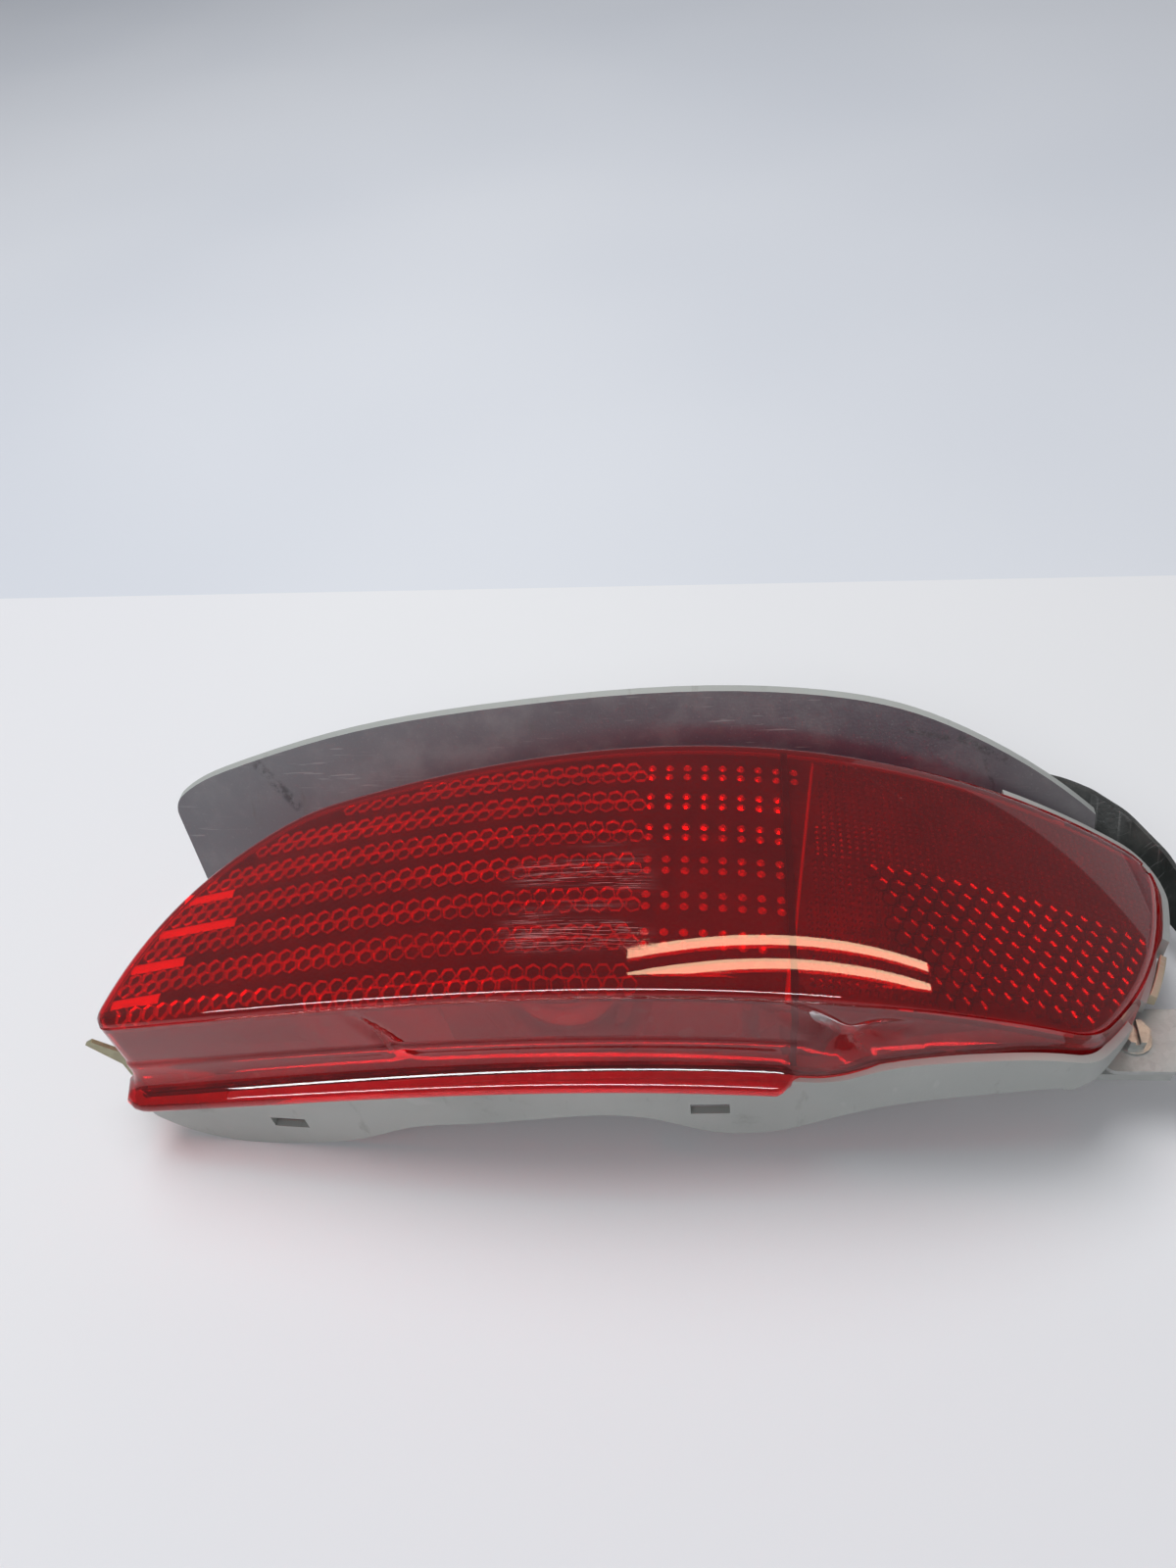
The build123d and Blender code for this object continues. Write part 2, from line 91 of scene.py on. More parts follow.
# shader helpers
def addNode(tree, kind, wires=None, **settings):
    shaderNode = tree.nodes.new(kind)
    for name, value in settings.items():
        setattr(shaderNode, name, value)
    for name, value in (wires or {}).items():
        socket = shaderNode.inputs[name]
        if isinstance(value, bpy.types.NodeSocket):
            tree.links.new(value, socket)
        else:
            socket.default_value = value
    return shaderNode


def math2(tree, operation, a, b=0.0, clamp=False):
    return addNode(tree, "ShaderNodeMath", {0: a, 1: b}, operation=operation, use_clamp=clamp).outputs[0]


def ramp(tree, value, low, high, outLow=0.0, outHigh=1.0):
    wires = {"Value": value, "From Min": low, "From Max": high, "To Min": outLow, "To Max": outHigh}
    return addNode(tree, "ShaderNodeMapRange", wires, interpolation_type="SMOOTHSTEP").outputs[0]


def times(tree, a, b):
    return math2(tree, "MULTIPLY", a, b)


def plus(tree, a, b):
    return math2(tree, "ADD", a, b, clamp=True)


def facingParts(tree):
    # the surface's own direction, split into x, y and z
    normal = addNode(tree, "ShaderNodeTexCoord").outputs["Normal"]
    return addNode(tree, "ShaderNodeSeparateXYZ", {"Vector": normal}).outputs


def blendColor(tree, amount, first, second):
    mixer = addNode(tree, "ShaderNodeMix", data_type="RGBA")
    for index, value in ((0, amount), (6, first), (7, second)):
        if isinstance(value, bpy.types.NodeSocket):
            tree.links.new(value, mixer.inputs[index])
        else:
            mixer.inputs[index].default_value = value if index == 0 else (*value, 1)
    return mixer.outputs[2]


def startGroup(name, numbers, outputs):
    group = bpy.data.node_groups.new(name, "ShaderNodeTree")
    group.interface.new_socket("Place", in_out="INPUT", socket_type="NodeSocketVector")
    for number, start in numbers.items():
        socket = group.interface.new_socket(number, in_out="INPUT", socket_type="NodeSocketFloat")
        socket.default_value = start
    for output in outputs:
        group.interface.new_socket(output, in_out="OUTPUT", socket_type="NodeSocketFloat")
    return group, group.nodes.new("NodeGroupInput"), group.nodes.new("NodeGroupOutput")


def stretched(tree, place, scale, turn=0.0):
    wires = {"Vector": place, "Rotation": (0, 0, math.radians(turn)), "Scale": scale}
    return addNode(tree, "ShaderNodeMapping", wires).outputs[0]


def noise(tree, place, size, detail=3.0, rough=0.5):
    wires = {"Vector": place, "Scale": size, "Detail": detail, "Roughness": rough}
    return addNode(tree, "ShaderNodeTexNoise", wires).outputs["Fac"]


def makeGrainGroup():
    # fine moulded grain: a height for bump and a slow drift of tone
    group, start, end = startGroup("mouldedGrain", {"Size": 900.0, "Drift": 18.0}, ["Height", "Tone"])
    fine = noise(group, start.outputs["Place"], start.outputs["Size"], 2.0, 0.6)
    slow = noise(group, start.outputs["Place"], start.outputs["Drift"], 4.0, 0.55)
    group.links.new(fine, end.inputs["Height"])
    group.links.new(ramp(group, slow, 0.3, 0.7), end.inputs["Tone"])
    return group


def makeDustGroup():
    # settled dust: heavier on faces that look up, broken into specks and wiped patches
    group, start, end = startGroup("settledDust", {"Cover": 0.4, "Size": 60.0, "Upward": 0.7}, ["Mask"])
    up = ramp(group, facingParts(group)["Z"], -0.2, 0.9)
    lift = times(group, up, start.outputs["Upward"])
    base = math2(group, "ADD", math2(group, "SUBTRACT", 1.0, start.outputs["Upward"]), lift)
    patches = ramp(group, noise(group, start.outputs["Place"], start.outputs["Size"], 6.0, 0.65), 0.42, 0.72)
    speckSize = times(group, start.outputs["Size"], 22.0)
    specks = ramp(group, noise(group, start.outputs["Place"], speckSize, 1.0), 0.66, 0.74)
    both = plus(group, patches, times(group, specks, 0.8))
    amount = math2(group, "MULTIPLY", times(group, both, base), start.outputs["Cover"], clamp=True)
    group.links.new(amount, end.inputs["Mask"])
    return group


def makeHairlineGroup():
    # thin handling scratches in two directions, gathered in patches
    group, start, end = startGroup("hairlines", {"Size": 40.0, "Amount": 0.5}, ["Mask"])
    total = None
    for turn, stretch in ((14, 26.0), (-38, 34.0), (74, 30.0)):
        lane = stretched(group, start.outputs["Place"], (1.0, stretch, 1.0), turn)
        lines = ramp(group, noise(group, lane, start.outputs["Size"], 2.0, 0.7), 0.66, 0.71)
        total = lines if total is None else plus(group, total, lines)
    patches = ramp(group, noise(group, start.outputs["Place"], 21.0, 2.0), 0.45, 0.65)
    marks = times(group, total, patches)
    group.links.new(math2(group, "MULTIPLY", marks, start.outputs["Amount"], clamp=True), end.inputs["Mask"])
    return group


def makeStainGroup():
    # dried dirt: dark soft blotches with a few runs
    group, start, end = startGroup("driedDirt", {"Size": 26.0, "Amount": 0.5}, ["Mask"])
    blots = ramp(group, noise(group, start.outputs["Place"], start.outputs["Size"], 7.0, 0.7), 0.58, 0.74)
    runs = stretched(group, start.outputs["Place"], (6.0, 1.0, 1.4), 12)
    trails = ramp(group, noise(group, runs, start.outputs["Size"], 4.0, 0.6), 0.62, 0.76)
    both = plus(group, blots, times(group, trails, 0.7))
    group.links.new(math2(group, "MULTIPLY", both, start.outputs["Amount"], clamp=True), end.inputs["Mask"])
    return group


grainGroup = makeGrainGroup()
dustGroup = makeDustGroup()
hairlineGroup = makeHairlineGroup()
stainGroup = makeStainGroup()


def useGroup(tree, group, place, **numbers):
    wires = {"Place": place}
    wires.update(numbers)
    placed = addNode(tree, "ShaderNodeGroup", node_tree=group)
    for name, value in wires.items():
        if isinstance(value, bpy.types.NodeSocket):
            tree.links.new(value, placed.inputs[name])
        else:
            placed.inputs[name].default_value = value
    return placed.outputs


def startMaterial(name):
    material = bpy.data.materials.new(name)
    material.use_nodes = True
    tree = material.node_tree
    shader = tree.nodes["Principled BSDF"]
    place = addNode(tree, "ShaderNodeTexCoord").outputs["Object"]
    return material, tree, shader, place


def wire(tree, source, socket):
    tree.links.new(source, socket)


def setBump(tree, shader, height, strength, distance):
    wires = {"Height": height, "Strength": strength, "Distance": distance}
    wire(tree, addNode(tree, "ShaderNodeBump", wires).outputs[0], shader.inputs["Normal"])


def plasticFinish(name, look):
    # moulded plastic with grain, dust, dirt and handling marks
    material, tree, shader, place = startMaterial(name)
    grain = useGroup(tree, grainGroup, place, Size=look.get("grainSize", 900.0), Drift=18.0)
    dust = useGroup(tree, dustGroup, place, Cover=look.get("dust", 0.3), Size=60.0)
    lines = useGroup(tree, hairlineGroup, place, Amount=look.get("marks", 0.4))
    dirt = useGroup(tree, stainGroup, place, Amount=look.get("dirt", 0.3), Size=26.0)
    color = blendColor(tree, grain["Tone"], look["color"], look["deep"])
    color = blendColor(tree, dirt["Mask"], color, (0.06, 0.05, 0.04))
    color = blendColor(tree, lines["Mask"], color, (0.55, 0.55, 0.55))
    color = blendColor(tree, dust["Mask"], color, (0.55, 0.53, 0.5))
    wire(tree, color, shader.inputs["Base Color"])
    rough = ramp(tree, grain["Tone"], 0.0, 1.0, look["rough"], look["rough"] + 0.1)
    rough = plus(tree, rough, times(tree, dust["Mask"], 0.35))
    wire(tree, rough, shader.inputs["Roughness"])
    height = math2(tree, "SUBTRACT", grain["Height"], times(tree, lines["Mask"], 1.5))
    setBump(tree, shader, height, look.get("bump", 0.25), 0.0002)
    return material


def metalFinish(name, look):
    # rolled or plated metal with drawn lines, spangle and tarnish
    material, tree, shader, place = startMaterial(name)
    shader.inputs["Metallic"].default_value = look.get("metal", 1.0)
    lines = noise(tree, stretched(tree, place, (1.0, 30.0, 30.0)), 160.0, 3.0)
    wires = {"Vector": place, "Scale": look.get("spangle", 260.0)}
    spangle = addNode(tree, "ShaderNodeTexVoronoi", wires).outputs["Color"]
    flakes = addNode(tree, "ShaderNodeSeparateColor", {"Color": spangle}).outputs[0]
    tarnish = useGroup(tree, stainGroup, place, Amount=look.get("tarnish", 0.4), Size=45.0)
    dust = useGroup(tree, dustGroup, place, Cover=0.25, Size=70.0)
    color = blendColor(tree, times(tree, flakes, look.get("flake", 0.5)), look["color"], look["deep"])
    color = blendColor(tree, tarnish["Mask"], color, (0.2, 0.17, 0.13))
    color = blendColor(tree, dust["Mask"], color, (0.45, 0.43, 0.4))
    wire(tree, color, shader.inputs["Base Color"])
    rough = ramp(tree, lines, 0.3, 0.7, look["rough"], look["rough"] + 0.14)
    rough = plus(tree, rough, times(tree, tarnish["Mask"], 0.3))
    wire(tree, rough, shader.inputs["Roughness"])
    height = math2(tree, "ADD", lines, times(tree, flakes, 0.3))
    setBump(tree, shader, height, look.get("bump", 0.15), 0.0001)
    return material


def stroke(tree, u, v, start, end, width):
    # soft line between two points of the u, v plane
    length = math.dist(start, end)
    stepU, stepV = (end[0] - start[0]) / length, (end[1] - start[1]) / length
    fromU, fromV = math2(tree, "SUBTRACT", u, start[0]), math2(tree, "SUBTRACT", v, start[1])
    along = math2(tree, "ADD", times(tree, fromU, stepU), times(tree, fromV, stepV))
    aside = math2(tree, "SUBTRACT", times(tree, fromV, stepU), times(tree, fromU, stepV))
    thin = ramp(tree, math2(tree, "ABSOLUTE", aside), 0.3 * width, width, 1.0, 0.0)
    ends = times(tree, ramp(tree, along, -width, 0.0), ramp(tree, along, length, length + width, 1.0, 0.0))
    return times(tree, thin, ends)


# clear red acrylic of the lens, worn and dusty; strokes are in metres, across the face or down the skirt
acrylicStrokes = {
    "face": [((0.060, 0.029), (0.078, 0.0155), 0.0009), ((0.078, 0.0155), (0.089, 0.0035), 0.0006)],
    "skirt": [
        ((0.046, 0.077), (0.062, 0.059), 0.0013), ((0.068, 0.073), (0.058, 0.062), 0.0016),
        ((-0.083, 0.078), (-0.078, 0.062), 0.001),
    ],
}
acrylicLook = {
    "red": (0.62, 0.002, 0.006), "haze": (0.6, 0.3, 0.3), "clear": 0.97, "shadow": (0.85, 0.13, 0.13),
    "facePaintedGlow": 0.002, "skirtPaintedGlow": 0.03,
    "spot": (-0.0195, -0.0305), "spotHalf": ((0.012, 0.026), (0.014, 0.021)),
}


def acrylicFinish():
    material, tree, shader, place = startMaterial("redAcrylic")
    shader.inputs["Transmission Weight"].default_value = acrylicLook["clear"]
    shader.inputs["IOR"].default_value = 1.49
    shader.inputs["Specular IOR Level"].default_value = 0.3
    split = addNode(tree, "ShaderNodeSeparateXYZ", {"Vector": place})
    local = stretched(tree, place, (1.0, 60.0, 1.0), 14)
    streaks = ramp(tree, noise(tree, local, 55.0, 3.0, 0.75), 0.53, 0.63)
    # a rubbed patch in the middle of the face, gathered in four groups of strokes
    inSpot = []
    for axis, middle, half in zip("XY", acrylicLook["spot"], acrylicLook["spotHalf"]):
        away = math2(tree, "ABSOLUTE", math2(tree, "SUBTRACT", split.outputs[axis], middle))
        inSpot.append(ramp(tree, away, *half, 1.0, 0.0))
    top = ramp(tree, split.outputs["Z"], 0.076, 0.082)
    bandWires = {"Vector": stretched(tree, place, (10.0, 88.0, 1.0), 10), "Scale": 1.0}
    bands = ramp(tree, addNode(tree, "ShaderNodeTexNoise", bandWires).outputs["Fac"], 0.42, 0.6)
    patch = times(tree, times(tree, *inSpot), times(tree, top, bands))
    rubbed = times(tree, streaks, patch)
    lines = useGroup(tree, hairlineGroup, place, Size=46.0, Amount=0.12)
    dust = useGroup(tree, dustGroup, place, Cover=0.05, Size=48.0, Upward=0.2)
    # dried dirt low on the skirt
    low = ramp(tree, split.outputs["Z"], 0.03, 0.062, 1.0, 0.06)
    dirt = useGroup(tree, stainGroup, place, Amount=0.55, Size=34.0)
    film = times(tree, dirt["Mask"], low)
    wear = plus(tree, times(tree, rubbed, 0.85), lines["Mask"])
    # cracked and chipped places: two on the face, the rest down the skirt
    broken = ramp(tree, noise(tree, place, 260.0, 4.0, 0.7), 0.38, 0.62, 0.1, 1.0)
    onSkirt = ramp(tree, split.outputs["Y"], -0.059, -0.055, 1.0, 0.0)
    for kind, v in (("face", "Y"), ("skirt", "Z")):
        for start, end, width in acrylicStrokes[kind]:
            mark = stroke(tree, split.outputs["X"], split.outputs[v], start, end, width)
            mark = times(tree, mark, times(tree, broken, 0.3) if kind == "face" else broken)
            mark = times(tree, mark, top if kind == "face" else onSkirt)
            wear = plus(tree, wear, mark)
    cover = plus(tree, wear, math2(tree, "ADD", dust["Mask"], times(tree, film, 0.4)))
    color = blendColor(tree, cover, acrylicLook["red"], acrylicLook["haze"])
    wire(tree, color, shader.inputs["Base Color"])
    wire(tree, ramp(tree, cover, 0.0, 1.0, 0.012, 0.6), shader.inputs["Roughness"])
    # painted glow of the acrylic: faint on the face, stronger down the skirt
    shader.inputs["Emission Color"].default_value = (1.0, 0.001, 0.006, 1)
    paintedGlow = ramp(tree, facingParts(tree)["Z"], 0.3, 0.85, acrylicLook["skirtPaintedGlow"], acrylicLook["facePaintedGlow"])
    wire(tree, paintedGlow, shader.inputs["Emission Strength"])
    wave = noise(tree, place, 26.0, 2.0)
    setBump(tree, shader, math2(tree, "ADD", wave, times(tree, wear, 0.3)), 0.03, 0.0004)
    # light reaches the optics through the shell
    clear = addNode(tree, "ShaderNodeBsdfTransparent", {"Color": (*acrylicLook["shadow"], 1)})
    haze = addNode(tree, "ShaderNodeBsdfDiffuse", {"Color": (*acrylicLook["haze"], 1)})
    wires = {0: times(tree, rubbed, 0.5), 1: shader.outputs[0], 2: haze.outputs[0]}
    layered = addNode(tree, "ShaderNodeMixShader", wires)
    path = addNode(tree, "ShaderNodeLightPath")
    wires = {0: path.outputs["Is Shadow Ray"], 1: layered.outputs[0], 2: clear.outputs[0]}
    final = addNode(tree, "ShaderNodeMixShader", wires)
    wire(tree, final.outputs[0], tree.nodes["Material Output"].inputs["Surface"])
    return material


def opticFinish(name, look):
    # moulded red optic behind the lens, with a painted glow in its own colour
    material, tree, shader, place = startMaterial(name)
    grain = useGroup(tree, grainGroup, place, Size=700.0, Drift=22.0)
    dust = useGroup(tree, dustGroup, place, Cover=0.1, Size=60.0, Upward=0.3)
    color = blendColor(tree, grain["Tone"], look["color"], look["deep"])
    color = blendColor(tree, dust["Mask"], color, (0.5, 0.2, 0.2))
    wire(tree, color, shader.inputs["Base Color"])
    shader.inputs["Metallic"].default_value = look.get("metal", 0.0)
    rough = ramp(tree, grain["Tone"], 0.0, 1.0, look["rough"], look["rough"] + 0.06)
    wire(tree, rough, shader.inputs["Roughness"])
    shader.inputs["Emission Strength"].default_value = look["paintedGlow"]
    wire(tree, color, shader.inputs["Emission Color"])
    setBump(tree, shader, grain["Height"], 0.05, 0.0001)
    return material


# dark streak and cracks up the flange's face: two ends in x and z, width and depth of tone
frameStrokes = [
    ((-0.152, 0.063), (-0.139, 0.049), 0.0026, 0.65), ((0.112, 0.06), (0.117, 0.046), 0.001, 0.95),
    ((0.104, 0.066), (0.12, 0.0585), 0.0018, 0.9), ((0.086, 0.069), (0.1, 0.066), 0.0012, 0.8),
]


def greyFrameFinish():
    # grey moulding: painted shade darkens the flange's face, with a painted reflection of the red lens
    # turning it purple towards its wrapped end; painted shade also darkens the wrapped end, and the rim keeps
    # the plain grey
    material, tree, shader, place = startMaterial("greyMoulding")
    split = addNode(tree, "ShaderNodeSeparateXYZ", {"Vector": place})
    grain = useGroup(tree, grainGroup, place, Size=1100.0, Drift=14.0)
    dust = useGroup(tree, dustGroup, place, Cover=0.2, Size=55.0, Upward=0.6)
    lines = useGroup(tree, hairlineGroup, place, Amount=0.25, Size=38.0)
    dirt = useGroup(tree, stainGroup, place, Amount=0.4, Size=30.0)
    color = blendColor(tree, grain["Tone"], (0.41, 0.425, 0.4), (0.35, 0.365, 0.345))
    # face of the flange that looks at the lens: painted shade, turning purple towards the wrapped end as a
    # painted reflection of the red lens
    facing = facingParts(tree)
    leaning = ramp(tree, times(tree, facing["Y"], -1.0), 0.78, 0.84)
    high = ramp(tree, facing["Z"], 0.42, 0.47)
    inner = times(tree, leaning, high)
    shade = ramp(tree, split.outputs["X"], -0.17, 0.09)
    paintedShadeAndReflection = blendColor(tree, shade, (0.145, 0.147, 0.162), (0.07, 0.05, 0.068))
    color = blendColor(tree, inner, color, paintedShadeAndReflection)
    # painted shade: the whole moulding darkens towards its wrapped end
    edge = ramp(tree, split.outputs["X"], 0.09, 0.16)
    color = blendColor(tree, times(tree, edge, 0.35), color, (0.2, 0.21, 0.2))
    color = blendColor(tree, dirt["Mask"], color, (0.1, 0.085, 0.065))
    broken = ramp(tree, noise(tree, place, 240.0, 5.0, 0.7), 0.4, 0.6, 0.0, 1.0)
    for start, end, width, depth in frameStrokes:
        mark = times(tree, stroke(tree, split.outputs["X"], split.outputs["Z"], start, end, width), inner)
        color = blendColor(tree, times(tree, times(tree, mark, broken), depth), color, (0.02, 0.016, 0.02))
    color = blendColor(tree, times(tree, lines["Mask"], 0.7), color, (0.6, 0.6, 0.58))
    color = blendColor(tree, times(tree, dust["Mask"], 0.6), color, (0.5, 0.49, 0.46))
    wire(tree, color, shader.inputs["Base Color"])
    rough = ramp(tree, grain["Tone"], 0.0, 1.0, 0.34, 0.46)
    wire(tree, plus(tree, rough, times(tree, dust["Mask"], 0.3)), shader.inputs["Roughness"])
    height = math2(tree, "SUBTRACT", grain["Height"], times(tree, lines["Mask"], 1.4))
    setBump(tree, shader, height, 0.22, 0.0002)
    return material


def glassFinish():
    material, tree, shader, place = startMaterial("bulbGlass")
    shader.inputs["Transmission Weight"].default_value = 1.0
    shader.inputs["IOR"].default_value = 1.5
    smoke = useGroup(tree, stainGroup, place, Amount=0.35, Size=60.0)
    color = blendColor(tree, smoke["Mask"], (0.97, 0.97, 0.97), (0.5, 0.48, 0.45))
    wire(tree, color, shader.inputs["Base Color"])
    wire(tree, ramp(tree, smoke["Mask"], 0.0, 1.0, 0.02, 0.12), shader.inputs["Roughness"])
    return material


# paintedGlow is painted glow of the optics: faint in the bases, stronger in the cells, strongest in the tip's
# bars
opticLooks = {
    "opticBase": {"color": (0.07, 0.001, 0.004), "deep": (0.04, 0.001, 0.003), "rough": 0.3, "paintedGlow": 0.02},
    "opticCell": {
        "color": (0.95, 0.03, 0.05), "deep": (0.7, 0.015, 0.03), "rough": 0.12,
        "metal": 0.6, "paintedGlow": 0.07},
    "opticBar": {"color": (1.0, 0.02, 0.015), "deep": (0.9, 0.01, 0.01), "rough": 0.2, "paintedGlow": 0.3},
    "reflexBase": {"color": (0.09, 0.002, 0.006), "deep": (0.04, 0.001, 0.003), "rough": 0.25, "paintedGlow": 0.02},
    "reflexCell": {
        "color": (0.24, 0.004, 0.012), "deep": (0.12, 0.002, 0.006), "rough": 0.2,
        "metal": 0.7, "paintedGlow": 0.02},
}
plasticLooks = {
    "chamberWall": {
        "color": (0.03, 0.004, 0.005), "deep": (0.02, 0.003, 0.004), "rough": 0.5,
        "dust": 0.05, "marks": 0.0, "dirt": 0.1},
    "blackSeal": {
        "color": (0.02, 0.02, 0.02), "deep": (0.03, 0.03, 0.03), "rough": 0.6,
        "grainSize": 500.0, "bump": 0.4},
    "backHousing": {"color": (0.2, 0.2, 0.2), "deep": (0.15, 0.15, 0.155), "rough": 0.45, "dust": 0.45},
    "ventRubber": {
        "color": (0.022, 0.022, 0.024), "deep": (0.035, 0.035, 0.035), "rough": 0.65, "dust": 0.35},
    "beigeFoam": {
        "color": (0.55, 0.47, 0.33), "deep": (0.42, 0.35, 0.24), "rough": 0.85,
        "grainSize": 1400.0, "bump": 1.0, "dirt": 0.5},
    "blackGuard": {
        "color": (0.012, 0.016, 0.014), "deep": (0.02, 0.024, 0.022), "rough": 0.4,
        "dust": 0.1, "marks": 0.2, "bump": 0.5, "grainSize": 700.0},
    "blackNylon": {"color": (0.02, 0.02, 0.02), "deep": (0.03, 0.03, 0.03), "rough": 0.5},
    "holderPlastic": {"color": (0.05, 0.05, 0.055), "deep": (0.075, 0.075, 0.08), "rough": 0.5, "dust": 0.3},
}
metalLooks = {
    "bowlMirror": {
        "color": (0.86, 0.86, 0.87), "deep": (0.8, 0.8, 0.82), "rough": 0.06,
        "flake": 0.1, "tarnish": 0.12, "bump": 0.02},
    "zincScrew": {
        "color": (0.42, 0.43, 0.42), "deep": (0.3, 0.31, 0.3), "rough": 0.36,
        "spangle": 900.0, "tarnish": 0.5},
    "galvanisedPlate": {
        "color": (0.4, 0.41, 0.4), "deep": (0.29, 0.3, 0.29), "rough": 0.5,
        "metal": 0.2, "spangle": 420.0, "tarnish": 0.35},
    "yellowZinc": {
        "color": (0.36, 0.34, 0.22), "deep": (0.24, 0.22, 0.13), "rough": 0.45,
        "metal": 0.6, "spangle": 500.0, "tarnish": 0.6},
    "aluminiumRivet": {"color": (0.6, 0.6, 0.6), "deep": (0.48, 0.48, 0.48), "rough": 0.32, "spangle": 700.0},
    "tinnedBrass": {"color": (0.68, 0.58, 0.36), "deep": (0.55, 0.46, 0.28), "rough": 0.28},
    "springSteel": {"color": (0.58, 0.56, 0.52), "deep": (0.46, 0.44, 0.4), "rough": 0.25},
    "tungsten": {"color": (0.4, 0.4, 0.4), "deep": (0.3, 0.3, 0.3), "rough": 0.4},
}
finishes = {"redAcrylic": acrylicFinish(), "greyMoulding": greyFrameFinish(), "bulbGlass": glassFinish()}
lookSets = ((opticFinish, opticLooks), (plasticFinish, plasticLooks), (metalFinish, metalLooks))
for makeFinish, looks in lookSets:
    for name, look in looks.items():
        finishes[name] = makeFinish(name, look)

nodeFinish = {
    "lens": "redAcrylic", "prism_plate": "opticBase", "reflex_panel": "reflexBase",
    "chamber_divider": "chamberWall", "lens_seal": "blackSeal", "socket_seal": "blackSeal",
    "lamp_body": "backHousing", "vent_cap": "ventRubber", "reflector_bowl": "bowlMirror",
    "mounting_frame": "greyMoulding", "frame_screws": "zincScrew", "bracket_screw": "zincScrew",
    "bracket_nut": "zincScrew", "right_bracket": "galvanisedPlate", "left_tab": "yellowZinc",
    "tab_rivet": "aluminiumRivet", "foam_strip": "beigeFoam", "splash_shield": "blackGuard",
    "push_rivets": "blackNylon", "bulb_socket": "holderPlastic", "connector_terminals": "tinnedBrass",
    "socket_contacts": "springSteel", "bulb_glass": "bulbGlass", "bulb_filament": "tungsten",
    "filament_posts": "tungsten",
}
for nodeName, finishName in nodeFinish.items():
    nodes[nodeName].data.materials.clear()
    nodes[nodeName].data.materials.append(finishes[finishName])
print("finishes made:", len(finishes))


# lens: plan outline and crown, in millimetres of the lamp's drawing
lensPlan = {
    "tip": (-171.0, -42.1), "heel": (134.3, -39.0), "corner": (172.0, 38.1), "shoulder": (-112.2, 37.0),
    "bottomArc": (-20.4, -47.0), "rightArc": (160.7, -4.0), "topArc": (59.5, 47.5), "leftArc": (-147.9, 10.0),
    "tipCut": 7.0, "heelCut": 7.5, "cornerCut": 12.0, "shoulderCut": 10.0,
    "along": 220, "across": 34,
}
crownShape = {
    "peak": 96.95, "bow": 45.5, "sweep": 13.5, "cross": 3.0, "twist": 3.6,
    "halfLength": 170.0, "halfHeight": 47.0,
}


def crownHeight(x, y):
    along = x / crownShape["halfLength"]
    across = y / crownShape["halfHeight"]
    drop = crownShape["bow"] * along**2 + crownShape["sweep"] * along**3 + crownShape["cross"] * across**2
    return crownShape["peak"] - drop + crownShape["twist"] * along * across


def arcThrough(start, middle, end):
    # smooth line through three points, cut into short steps
    start, middle, end = (np.array(p, float) for p in (start, middle, end))
    share = np.linalg.norm(middle - start)
    share = share / (share + np.linalg.norm(end - middle))
    t = np.linspace(0, 1, 161)[:, None]
    first = start * (t - share) * (t - 1) / share
    return first + middle * t * (t - 1) / (share * (share - 1)) + end * t * (t - share) / (1 - share)


def stepped(line, count, startCut=0.0, endCut=0.0):
    # even steps along a line, less a cut at each end
    steps = np.r_[0, np.cumsum(np.linalg.norm(np.diff(line, axis=0), axis=1))]
    wanted = np.linspace(startCut, steps[-1] - endCut, count)
    return np.c_[np.interp(wanted, steps, line[:, 0]), np.interp(wanted, steps, line[:, 1])]


def turnCorner(before, corner, after):
    t = np.linspace(0, 1, 17)[1:-1, None]
    return before * (1 - t)**2 + 2 * np.array(corner) * t * (1 - t) + after * t**2


def planSide(start, middle, end):
    arc = arcThrough(lensPlan[start], lensPlan[middle], lensPlan[end])
    return stepped(arc, 120, lensPlan[start + "Cut"], lensPlan[end + "Cut"])


def lensChains():
    # lower and upper halves of the outline, both from the tip to the far corner
    bottom = planSide("tip", "bottomArc", "heel")
    right = planSide("heel", "rightArc", "corner")
    top = planSide("shoulder", "topArc", "corner")
    left = planSide("tip", "leftArc", "shoulder")
    atTip = turnCorner(left[0], lensPlan["tip"], bottom[0])
    atCorner = turnCorner(right[-1], lensPlan["corner"], top[-1])
    atHeel = turnCorner(bottom[-1], lensPlan["heel"], right[0])
    atShoulder = turnCorner(left[-1], lensPlan["shoulder"], top[0])
    halfTip, halfCorner = len(atTip) // 2, len(atCorner) // 2
    lower = np.vstack([atTip[halfTip:], bottom, atHeel, right, atCorner[:halfCorner + 1]])
    upper = np.vstack([atTip[halfTip::-1], left, atShoulder, top, atCorner[:halfCorner - 1:-1]])
    return stepped(lower, lensPlan["along"] + 1), stepped(upper, lensPlan["along"] + 1)


lowerChain, upperChain = lensChains()
# the closed rim, and the direction out of it at each point
rimLine = np.vstack([lowerChain, upperChain[-2:0:-1]])
ahead = np.roll(rimLine, -1, axis=0) - np.roll(rimLine, 1, axis=0)
rimOut = np.c_[ahead[:, 1], -ahead[:, 0]] / np.linalg.norm(ahead, axis=1)[:, None]
for _ in range(2):
    rimOut = (np.roll(rimOut, 1, axis=0) + 2 * rimOut + np.roll(rimOut, -1, axis=0)) / 4
    rimOut /= np.linalg.norm(rimOut, axis=1)[:, None]
rimCount = len(rimLine)

# skirt: its depth at stations along the lamp, its lip and its flare
skirt = {
    "stations": (-190, 46, 61, 73, 85, 102, 119, 136, 190),
    "depths": (43, 43, 41, 33, 27, 20.5, 14.5, 11, 9.5), "deepest": 43.0,
    "lipEnd": 47.0, "lipSlant": 0.35, "lipFade": (5.0, 1.5), "lipReach": 2.5, "lipLower": 6.5,
    "flare": 4.4, "flareCurve": 2.6, "flareEnd": 170.0, "flareFade": 30.0,
    "wall": 2.5, "face": 3.0, "edge": 3.0,
}
